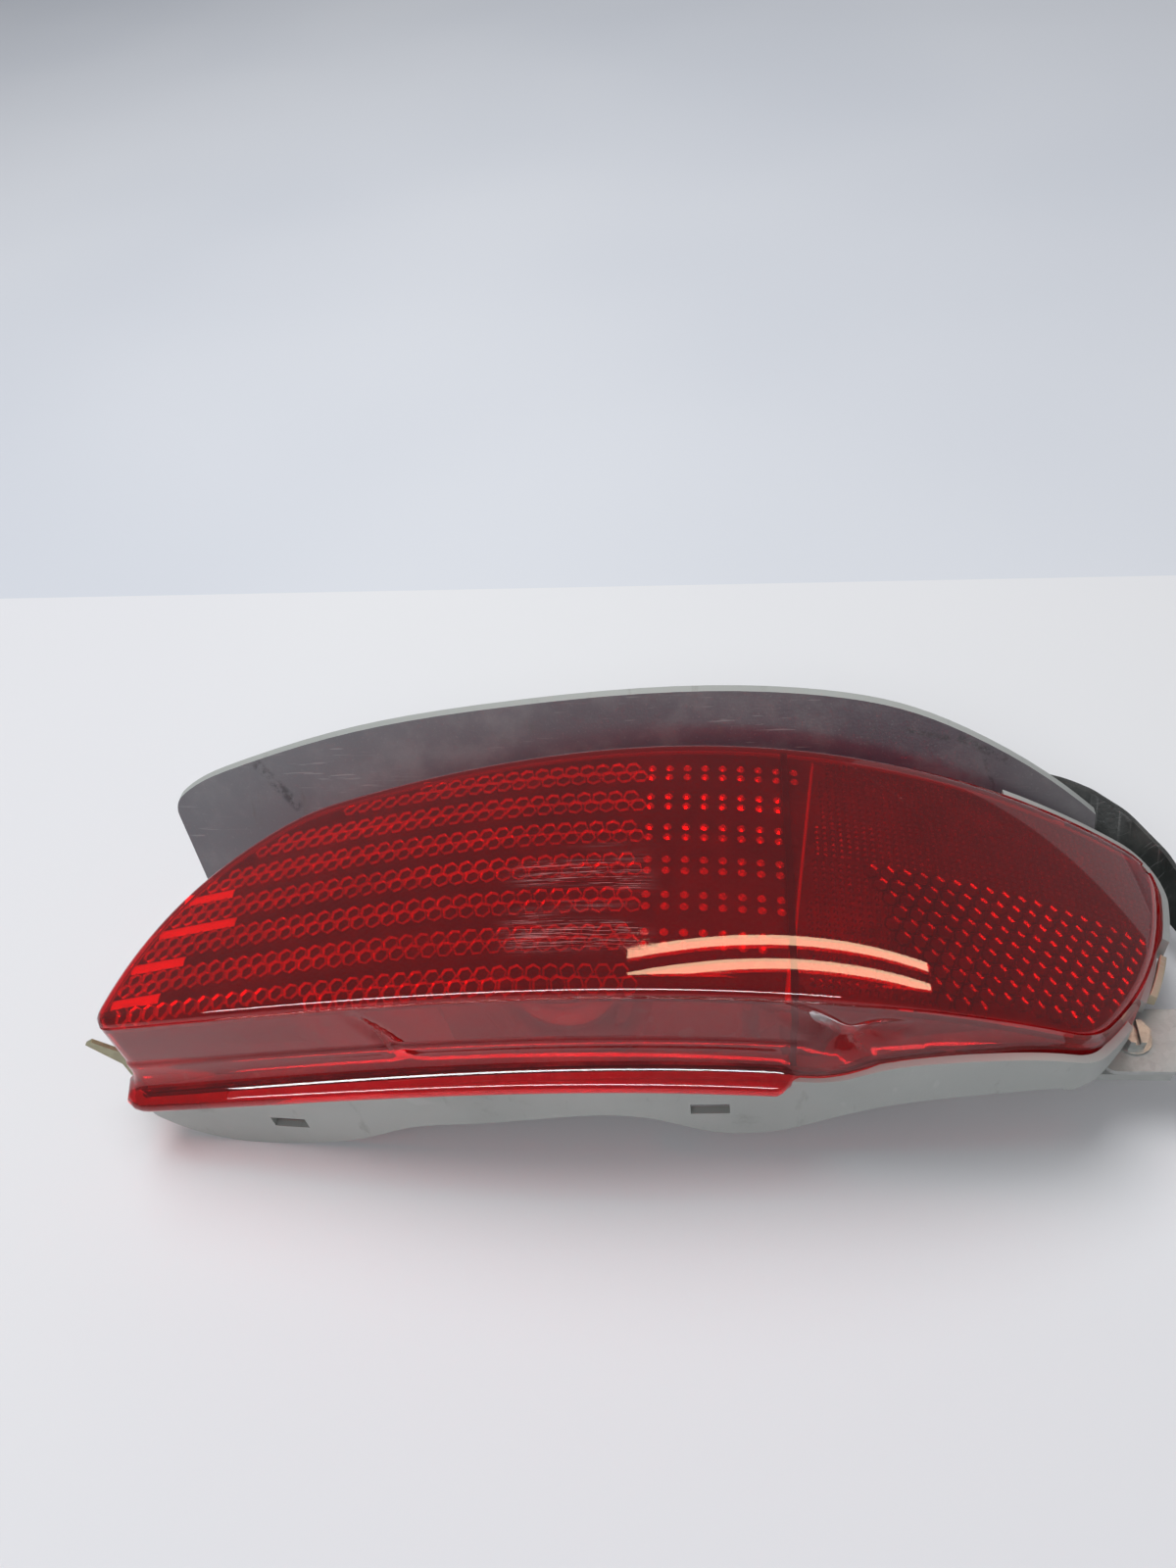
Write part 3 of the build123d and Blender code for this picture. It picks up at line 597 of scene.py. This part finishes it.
# lip section: depth under the face's edge, and share of the lip's reach
lipSection = [(2.6 + 1.2 * i, 0.001 * i) for i in range(18)] + [
    (24.2, 0.02), (24.7, 0.06), (25.4, 0.1), (27.0, 0.105), (28.5, 0.11), (30.0, 0.12), (31.5, 0.145),
    (33.4, 0.2), (35.2, 0.31), (36.6, 0.46), (37.5, 0.64), (38.1, 0.81), (38.9, 0.93), (39.9, 0.985),
    (41.0, 1.0), (42.0, 0.975), (42.7, 0.91), (43.0, 0.82),
]
# dents of the skirt, in millimetres along the lamp and under the face's edge
dents = [
    {"x": 58.0, "depth": 17.0, "slant": 0.9, "wide": 9.0, "tall": 14.0, "deep": 4.5},
    {"x": 68.0, "depth": 17.0, "slant": -0.9, "wide": 8.0, "tall": 10.0, "deep": 3.5},
    {"x": -74.0, "depth": 18.0, "slant": 0.5, "wide": 3.5, "tall": 15.0, "deep": 1.6},
]


def dentAt(x, depth):
    inward = 0.0
    for dent in dents:
        across = abs(x - dent["x"] - dent["slant"] * (depth - dent["depth"])) / dent["wide"]
        down = abs(depth - dent["depth"]) / dent["tall"]
        inward += dent["deep"] * max(0.0, 1 - across) * max(0.0, 1 - down)
    return inward


def skirtDepth(x):
    return np.interp(x, skirt["stations"], skirt["depths"])


def skirtPoint(index, depth, share):
    # one point of the skirt: the lip on the left, a concave flare to the right of it
    x, y = rimLine[index]
    outX, outY = rimOut[index]
    lipEnd = skirt["lipEnd"] + skirt["lipSlant"] * (skirt["deepest"] - depth)
    fadeBefore, fadeAfter = skirt["lipFade"]
    lipFade = 1 - smooth(x, lipEnd - fadeBefore, lipEnd + fadeAfter)
    lip = max(0.0, skirt["lipReach"] - skirt["lipLower"] * outY) * lipFade
    flareFade = (1 - lipFade) * smooth(skirt["flareEnd"] - x, 0, skirt["flareFade"])
    flare = skirt["flare"] * max(0.0, -outY) * flareFade
    here = depth * skirtDepth(x) / skirt["deepest"]
    rise = (depth / skirt["deepest"])**skirt["flareCurve"]
    reach = lip * share + flare * rise
    if outY < -0.3:
        reach -= dentAt(x, here)
    return at(x + outX * reach, y + outY * reach, crownHeight(x, y) - here)


def edgePoint(index, inset, drop):
    x, y = rimLine[index] + rimOut[index] * inset
    return at(x, y, crownHeight(x, y) - drop)


def crownSheet(bm, inset, drop, stationLayer):
    # face of the lens between the two halves of its outline
    made = bmesh.ops.create_grid(bm, x_segments=lensPlan["along"], y_segments=lensPlan["across"], size=0.5)
    lower = lowerChain + rimOut[:len(lowerChain)] * inset
    order = [0] + list(range(rimCount - 1, len(lowerChain) - 1, -1)) + [len(lowerChain) - 1]
    upper = upperChain + rimOut[order] * inset
    for vert in made["verts"]:
        column = round((vert.co.x + 0.5) * lensPlan["along"])
        across = vert.co.y + 0.5
        x, y = lower[column] * (1 - across) + upper[column] * across
        vert[stationLayer] = -1
        if across < 0.001:
            vert[stationLayer] = column
        elif across > 0.999:
            vert[stationLayer] = order[column]
        vert.co = at(x, y, crownHeight(x, y) - drop)
    bmesh.ops.remove_doubles(bm, verts=made["verts"], dist=1e-6)


def rimEdges(bm):
    return [edge for edge in bm.edges if edge.is_boundary]


def pullRim(bm, edges, stationLayer, placing):
    made = bmesh.ops.extrude_edge_only(bm, edges=edges)["geom"]
    for vert in (g for g in made if isinstance(g, bmesh.types.BMVert)):
        vert.co = placing(vert[stationLayer])
    return [g for g in made if isinstance(g, bmesh.types.BMEdge)]


def finishPiece(bm, name, finish, node, body="lamp", shade=True):
    mesh = bpy.data.meshes.new(name)
    bm.to_mesh(mesh)
    bm.free()
    for part in finish.split("+"):
        mesh.materials.append(finishes[part])
    for polygon in mesh.polygons:
        polygon.use_smooth = shade
    piece = bpy.data.objects.new(name, mesh)
    scene.collection.objects.link(piece)
    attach(piece, body)
    if node:
        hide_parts(node)
    return piece


def makeLensShell():
    bm = bmesh.new()
    station = bm.verts.layers.int.new("station")
    radius = skirt["edge"]
    crownSheet(bm, -radius, 0.0, station)
    edges = rimEdges(bm)
    for step in range(1, 7):
        turn = math.radians(15 * step)
        inset, drop = radius * (math.sin(turn) - 1), radius * (1 - math.cos(turn))
        edges = pullRim(bm, edges, station, lambda i: edgePoint(i, inset, drop))
    for depth, share in lipSection:
        edges = pullRim(bm, edges, station, lambda i: skirtPoint(i, depth, share))
    # underside of the lip, then up the inside to the back of the face
    wallInset = -skirt["wall"]
    edges = pullRim(bm, edges, station, lambda i: edgePoint(i, wallInset, skirtDepth(rimLine[i][0])))
    for inset, drop in ((0.0, 1.0), (0.3, 0.3), (1.0, 0.0)):
        edges = pullRim(bm, edges, station, lambda i: edgePoint(i, wallInset - inset, skirt["face"] + drop))
    inner = bmesh.new()
    innerStation = inner.verts.layers.int.new("station")
    crownSheet(inner, wallInset - 1.0, skirt["face"], innerStation)
    innerMesh = bpy.data.meshes.new("lensBack")
    inner.to_mesh(innerMesh)
    inner.free()
    bm.from_mesh(innerMesh)
    bpy.data.meshes.remove(innerMesh)
    bmesh.ops.remove_doubles(bm, verts=bm.verts, dist=2e-6)
    bmesh.ops.recalc_face_normals(bm, faces=bm.faces)
    print("lens shell open edges:", len(rimEdges(bm)), "faces:", len(bm.faces))
    return finishPiece(bm, "lensShell", "redAcrylic", "lens")


makeLensShell()

# optics: seven double rows of prism cells behind the left of the face
optics = {
    "rows": 7, "rowPitch": 12.7, "firstRow": 36.1, "cellPitch": 5.0, "pairGap": 3.7, "steps": (-36, 2),
    "softStart": 3.0, "plateDrop": 5.0, "margin": 4.2, "sunk": 0.1, "proud": 0.05, "under": 0.35,
}
cells = {
    "prism": {"sides": 6, "foot": 2.6, "top": 2.418, "tall": 1.1, "spin": 0.524, "dish": 0.8},
    "dot": {"sides": 8, "foot": 1.5, "top": 0.7, "tall": 0.9, "spin": 0.2, "dish": 0.3},
    "pyramid": {"sides": 4, "foot": 1.15, "top": 0.25, "tall": 0.8, "spin": 0.785, "dish": 0.0},
    "hexagon": {"sides": 6, "foot": 2.75, "top": 2.55, "tall": 0.9, "spin": 0.52, "dish": 0.6},
}


def insideLens(x, y, margin):
    # within the outline by at least the margin
    gap = rimLine - np.array((x, y))
    index = int(np.argmin((gap**2).sum(axis=1)))
    return float(gap[index] @ rimOut[index]) > margin


def dividerAt(y):
    # the divider leans a little
    return 49.2 + 0.125 * (y + 20.3)


def crownTurn(x, y):
    # turn that lays a cell flat on the crown
    slopeX = (crownHeight(x + 0.5, y) - crownHeight(x - 0.5, y))
    slopeY = (crownHeight(x, y + 0.5) - crownHeight(x, y - 0.5))
    return Vector((-slopeX, -slopeY, 1)).to_track_quat("Z", "Y").to_matrix().to_4x4()


def plateHeight(x, y):
    return crownHeight(x, y) - optics["plateDrop"]


def addCell(bm, x, y, cell):
    middle = at(x, y, plateHeight(x, y) + cell["tall"] / 2 - optics["sunk"])
    place = Matrix.Translation(middle) @ crownTurn(x, y) @ Matrix.Rotation(cell["spin"], 4, "Z")
    made = bmesh.ops.create_cone(
        bm, cap_ends=True, segments=cell["sides"], radius1=cell["foot"] * mm, radius2=cell["top"] * mm,
        depth=cell["tall"] * mm, matrix=place)
    if cell["dish"]:
        faces = {face for vert in made["verts"] for face in vert.link_faces}
        caps = [face for face in faces if len(face.verts) == cell["sides"]]
        outer = max(caps, key=lambda face: face.calc_center_median().z)
        bmesh.ops.inset_individual(
            bm, faces=[outer], thickness=cell["top"] * 0.2 * mm, depth=-cell["dish"] * mm)
        outer.material_index = 1


def makePrismCells():
    bm = bmesh.new()
    count = 0
    for row in range(optics["rows"]):
        middle = optics["firstRow"] - row * optics["rowPitch"]
        for side, lag in ((0.5, 0.0), (-0.5, 0.5)):
            y = middle + side * optics["pairGap"]
            for step in range(*optics["steps"]):
                x = (step + lag) * optics["cellPitch"]
                if x < optics["softStart"] and insideLens(x, y, optics["margin"]):
                    addCell(bm, x, y, cells["prism"])
                    count += 1
    print("prism cells:", count)
    return finishPiece(bm, "prismCells", "opticCell+opticBase", None, shade=False)


# softer round cells between the prism rows' end and the divider
dots = {"start": 3.2, "pitch": 5.6, "spread": 1.1, "clear": 4.0, "margin": 3.4}


def makeDotCells():
    bm = bmesh.new()
    for row in range(optics["rows"] - 1):
        middle = optics["firstRow"] - row * optics["rowPitch"]
        for side in (0.5, -0.5):
            y = middle + side * optics["pairGap"] * dots["spread"]
            x = optics["softStart"] + dots["start"]
            while x < dividerAt(y) - dots["clear"]:
                if insideLens(x, y, dots["margin"]):
                    addCell(bm, x, y, cells["dot"])
                x += dots["pitch"]
    return finishPiece(bm, "dotCells", "opticCell+opticCell", None, shade=False)


# low rounded bars at the tip that follow the crown: height across the lamp, then both ends along it
lightBars = {
    "wide": 3.6, "tall": 0.5,
    "lines": ((4.35, -151, -133), (-8.35, -157, -128), (-21.0, -163, -143), (-33.7, -166, -148)),
}


def addBar(bm, y, x0, x1):
    made = bmesh.ops.create_grid(bm, x_segments=14, y_segments=4, size=0.5)
    for vert in made["verts"]:
        x = x0 + (vert.co.x + 0.5) * (x1 - x0)
        across = vert.co.y * 2
        lift = lightBars["tall"] * (1 - across**2) + optics["proud"]
        spotY = y + across * lightBars["wide"] / 2
        vert.co = at(x, spotY, plateHeight(x, spotY) + lift)


def closeUnder(bm):
    # thin skirt and a flat underside for open sheets
    made = bmesh.ops.extrude_edge_only(bm, edges=rimEdges(bm))["geom"]
    for vert in (g for g in made if isinstance(g, bmesh.types.BMVert)):
        vert.co.z -= optics["under"] * mm
    bmesh.ops.holes_fill(bm, edges=rimEdges(bm), sides=0)
    bmesh.ops.recalc_face_normals(bm, faces=bm.faces)


def makeLightBars():
    bm = bmesh.new()
    for line in lightBars["lines"]:
        addBar(bm, *line)
    closeUnder(bm)
    return finishPiece(bm, "lightBars", "opticBar", None)


# bright rib where the two optics meet, strongest at its lower end: both ends, width and height
ribParts = ((-44.0, -24.0, 2.4, 0.7), (-24.0, 43.5, 1.0, 0.35))


def makeDividerRib():
    bm = bmesh.new()
    for y0, y1, wide, tall in ribParts:
        made = bmesh.ops.create_grid(bm, x_segments=4, y_segments=16, size=0.5)
        for vert in made["verts"]:
            y = y0 + (vert.co.y + 0.5) * (y1 - y0)
            across = vert.co.x * 2
            x = dividerAt(y) + across * wide / 2
            vert.co = at(x, y, plateHeight(x, y) + tall * (1 - across**2) + optics["proud"])
    closeUnder(bm)
    return finishPiece(bm, "dividerRib", "opticCell", None)


# fine square pyramids above, hexagon cells towards the lower wrapped end; pitches are along, across
reflex = {
    "low": -42.0, "high": 44.0, "hexTop": 4.0, "left": 52.0, "right": 170.0,
    "finePitch": (2.4, 2.1), "hexPitch": (5.0, 4.33), "clear": 3.0,
    "fineMargin": 3.4, "partMargin": 3.6, "hexMargin": 4.2,
}


def hexStart(y):
    return 78 - (y + 20) * 0.4


def addReflexCell(bm, x, y, margin, cell):
    fits = insideLens(x, y, margin) and x > dividerAt(y) + reflex["clear"]
    if fits:
        addCell(bm, x, y, cell)
    return int(fits)


def makeReflexCells():
    bm = bmesh.new()
    fineX, fineY = reflex["finePitch"]
    count = 0
    row = 0
    y = reflex["low"]
    while y < reflex["high"]:
        hexRow = y < reflex["hexTop"]
        pitchX, pitchY = reflex["hexPitch"] if hexRow else reflex["finePitch"]
        x = reflex["left"] + (pitchX / 2 if row % 2 and hexRow else 0.0)
        while x < reflex["right"]:
            if not hexRow:
                count += addReflexCell(bm, x, y, reflex["fineMargin"], cells["pyramid"])
            elif x > hexStart(y):
                count += addReflexCell(bm, x, y, reflex["hexMargin"], cells["hexagon"])
            else:
                # four pyramids in one hexagon's place
                for part in range(4):
                    partX = x + (part % 2 - 0.5) * fineX
                    partY = y + (part // 2 - 0.5) * fineY
                    count += addReflexCell(bm, partX, partY, reflex["partMargin"], cells["pyramid"])
            x += pitchX
        y += pitchY
        row += 1
    print("reflex cells:", count)
    return finishPiece(bm, "reflexCells", "reflexCell+reflexBase", None, shade=False)


makePrismCells()
makeDotCells()
makeLightBars()
makeDividerRib()
makeReflexCells()
print("optics made")


# edges of the moulded and pressed parts are slightly broken
edgeBreaks = {
    "right_bracket": 0.35, "bracket_screw": 0.3, "splash_shield": 0.5, "left_tab": 0.25, "foam_strip": 0.6,
    "vent_cap": 0.4,
}
for nodeName, width in edgeBreaks.items():
    weld = nodes[nodeName].modifiers.new("weld", "WELD")
    weld.merge_threshold = 0.01 * mm
    bevel = nodes[nodeName].modifiers.new("edgeBreak", "BEVEL")
    bevel.width = width * mm
    bevel.segments = 2
    bevel.limit_method = "ANGLE"
    bevel.angle_limit = math.radians(40)
    bevel.harden_normals = False


# bench: two boards in the floor's plane that meet behind the lamp; pale and deep tone of each
benchLook = {
    "near": ((0.80, 0.80, 0.805), (0.775, 0.775, 0.79)), "far": ((0.72, 0.74, 0.775), (0.665, 0.69, 0.735)),
    "seamY": 0.23, "seamTurn": -2.2, "size": 4.0,
}


def paintedFinish(name, color, deep):
    material, tree, shader, place = startMaterial(name)
    drift = noise(tree, place, 1.6, 2.0)
    wire(tree, blendColor(tree, ramp(tree, drift, 0.35, 0.65), color, deep), shader.inputs["Base Color"])
    shader.inputs["Roughness"].default_value = 0.7
    shader.inputs["Specular IOR Level"].default_value = 0.2
    return material


def addStage():
    half = benchLook["size"] / 2
    turn = Matrix.Rotation(math.radians(benchLook["seamTurn"]), 4, "Z")
    seam = Matrix.Translation((0, benchLook["seamY"], 0)) @ turn
    for name, side in (("near", -half), ("far", half)):
        bm = bmesh.new()
        bmesh.ops.create_grid(
            bm, x_segments=1, y_segments=1, size=half, matrix=seam @ Matrix.Translation((0, side, 0)))
        mesh = bpy.data.meshes.new(name + "Board")
        bm.to_mesh(mesh)
        bm.free()
        mesh.materials.append(paintedFinish(name + "Paint", *benchLook[name]))
        board = bpy.data.objects.new(name + "Board", mesh)
        scene.collection.objects.link(board)


# lights: size along and across in metres, power in watts, and the rays each is hidden from
lights = {
    "ceilingSoft": {
        "place": (-0.35, 0.35, 1.6), "aim": (0, 0, 0), "size": (1.0, 1.0), "power": 19,
        "color": (0.98, 0.985, 1.0), "hidden": ("glossy", "transmission")},
    # long window whose reflection runs along the lower edge of the face
    "windowStrip": {
        "place": (-0.35, -1.15, 1.0), "aim": (-0.05, 0, 0.08), "size": (2.6, 0.16), "power": 34,
        "color": (0.97, 0.98, 1.0), "hidden": ("diffuse",)},
    "frontFill": {
        "place": (-0.3, -1.3, 1.5), "aim": (0, 0, 0.05), "size": (1.6, 0.6), "power": 7,
        "color": (0.97, 0.98, 1.0), "hidden": ("glossy", "transmission")},
    # far pale wall that veils the upper right of the face
    "farWall": {
        "place": (1.5, 2.146, 0.346), "aim": (0, 2.146, 0.346), "size": (3.4, 1.4), "power": 6.5,
        "color": (1.0, 0.88, 0.92), "hidden": ("diffuse", "transmission")},
}
wallSlant = math.radians(39.5)
# twin warm tubes whose reflection lies low on the face
tubes = {
    "middle": (0.556, 0.435, 1.2), "apart": (-0.042, 0.042), "shift": -0.12, "turn": 6.5,
    "look": {"size": (1.27, 0.036), "power": 2.3, "color": (1.0, 0.62, 0.4), "hidden": ("diffuse",)},
}
roomLook = {"color": (0.86, 0.885, 0.94, 1), "strength": 0.33}


def addLight(name, look, place, aim):
    data = bpy.data.lights.new(name, "AREA")
    data.shape = "RECTANGLE"
    data.size, data.size_y = look["size"]
    data.energy = look["power"]
    data.color = look["color"]
    light = bpy.data.objects.new(name, data)
    light.location = place
    light.rotation_euler = (Vector(aim) - Vector(place)).to_track_quat("-Z", "Y").to_euler()
    light.visible_camera = False
    for ray in look["hidden"]:
        setattr(light, "visible_" + ray, False)
    scene.collection.objects.link(light)
    return light


addStage()
placed = {name: addLight(name, look, look["place"], look["aim"]) for name, look in lights.items()}
# the wall's upper edge slants up to the back
rise, run = math.sin(wallSlant), math.cos(wallSlant)
wallAxes = Matrix(((0, run, rise), (0, -rise, run), (1, 0, 0)))
placed["farWall"].rotation_euler = wallAxes.transposed().to_euler()
for apart in tubes["apart"]:
    x, y, z = tubes["middle"]
    x, y = x + tubes["shift"] * apart, y + apart
    tube = addLight("warmTube", tubes["look"], (x, y, z), (x, y, 0))
    tube.rotation_euler.z = math.radians(tubes["turn"])
world = bpy.data.worlds.new("roomLight")
scene.world = world
world.use_nodes = True
background = world.node_tree.nodes["Background"]
background.inputs["Color"].default_value = roomLook["color"]
background.inputs["Strength"].default_value = roomLook["strength"]
print("stage and light set")
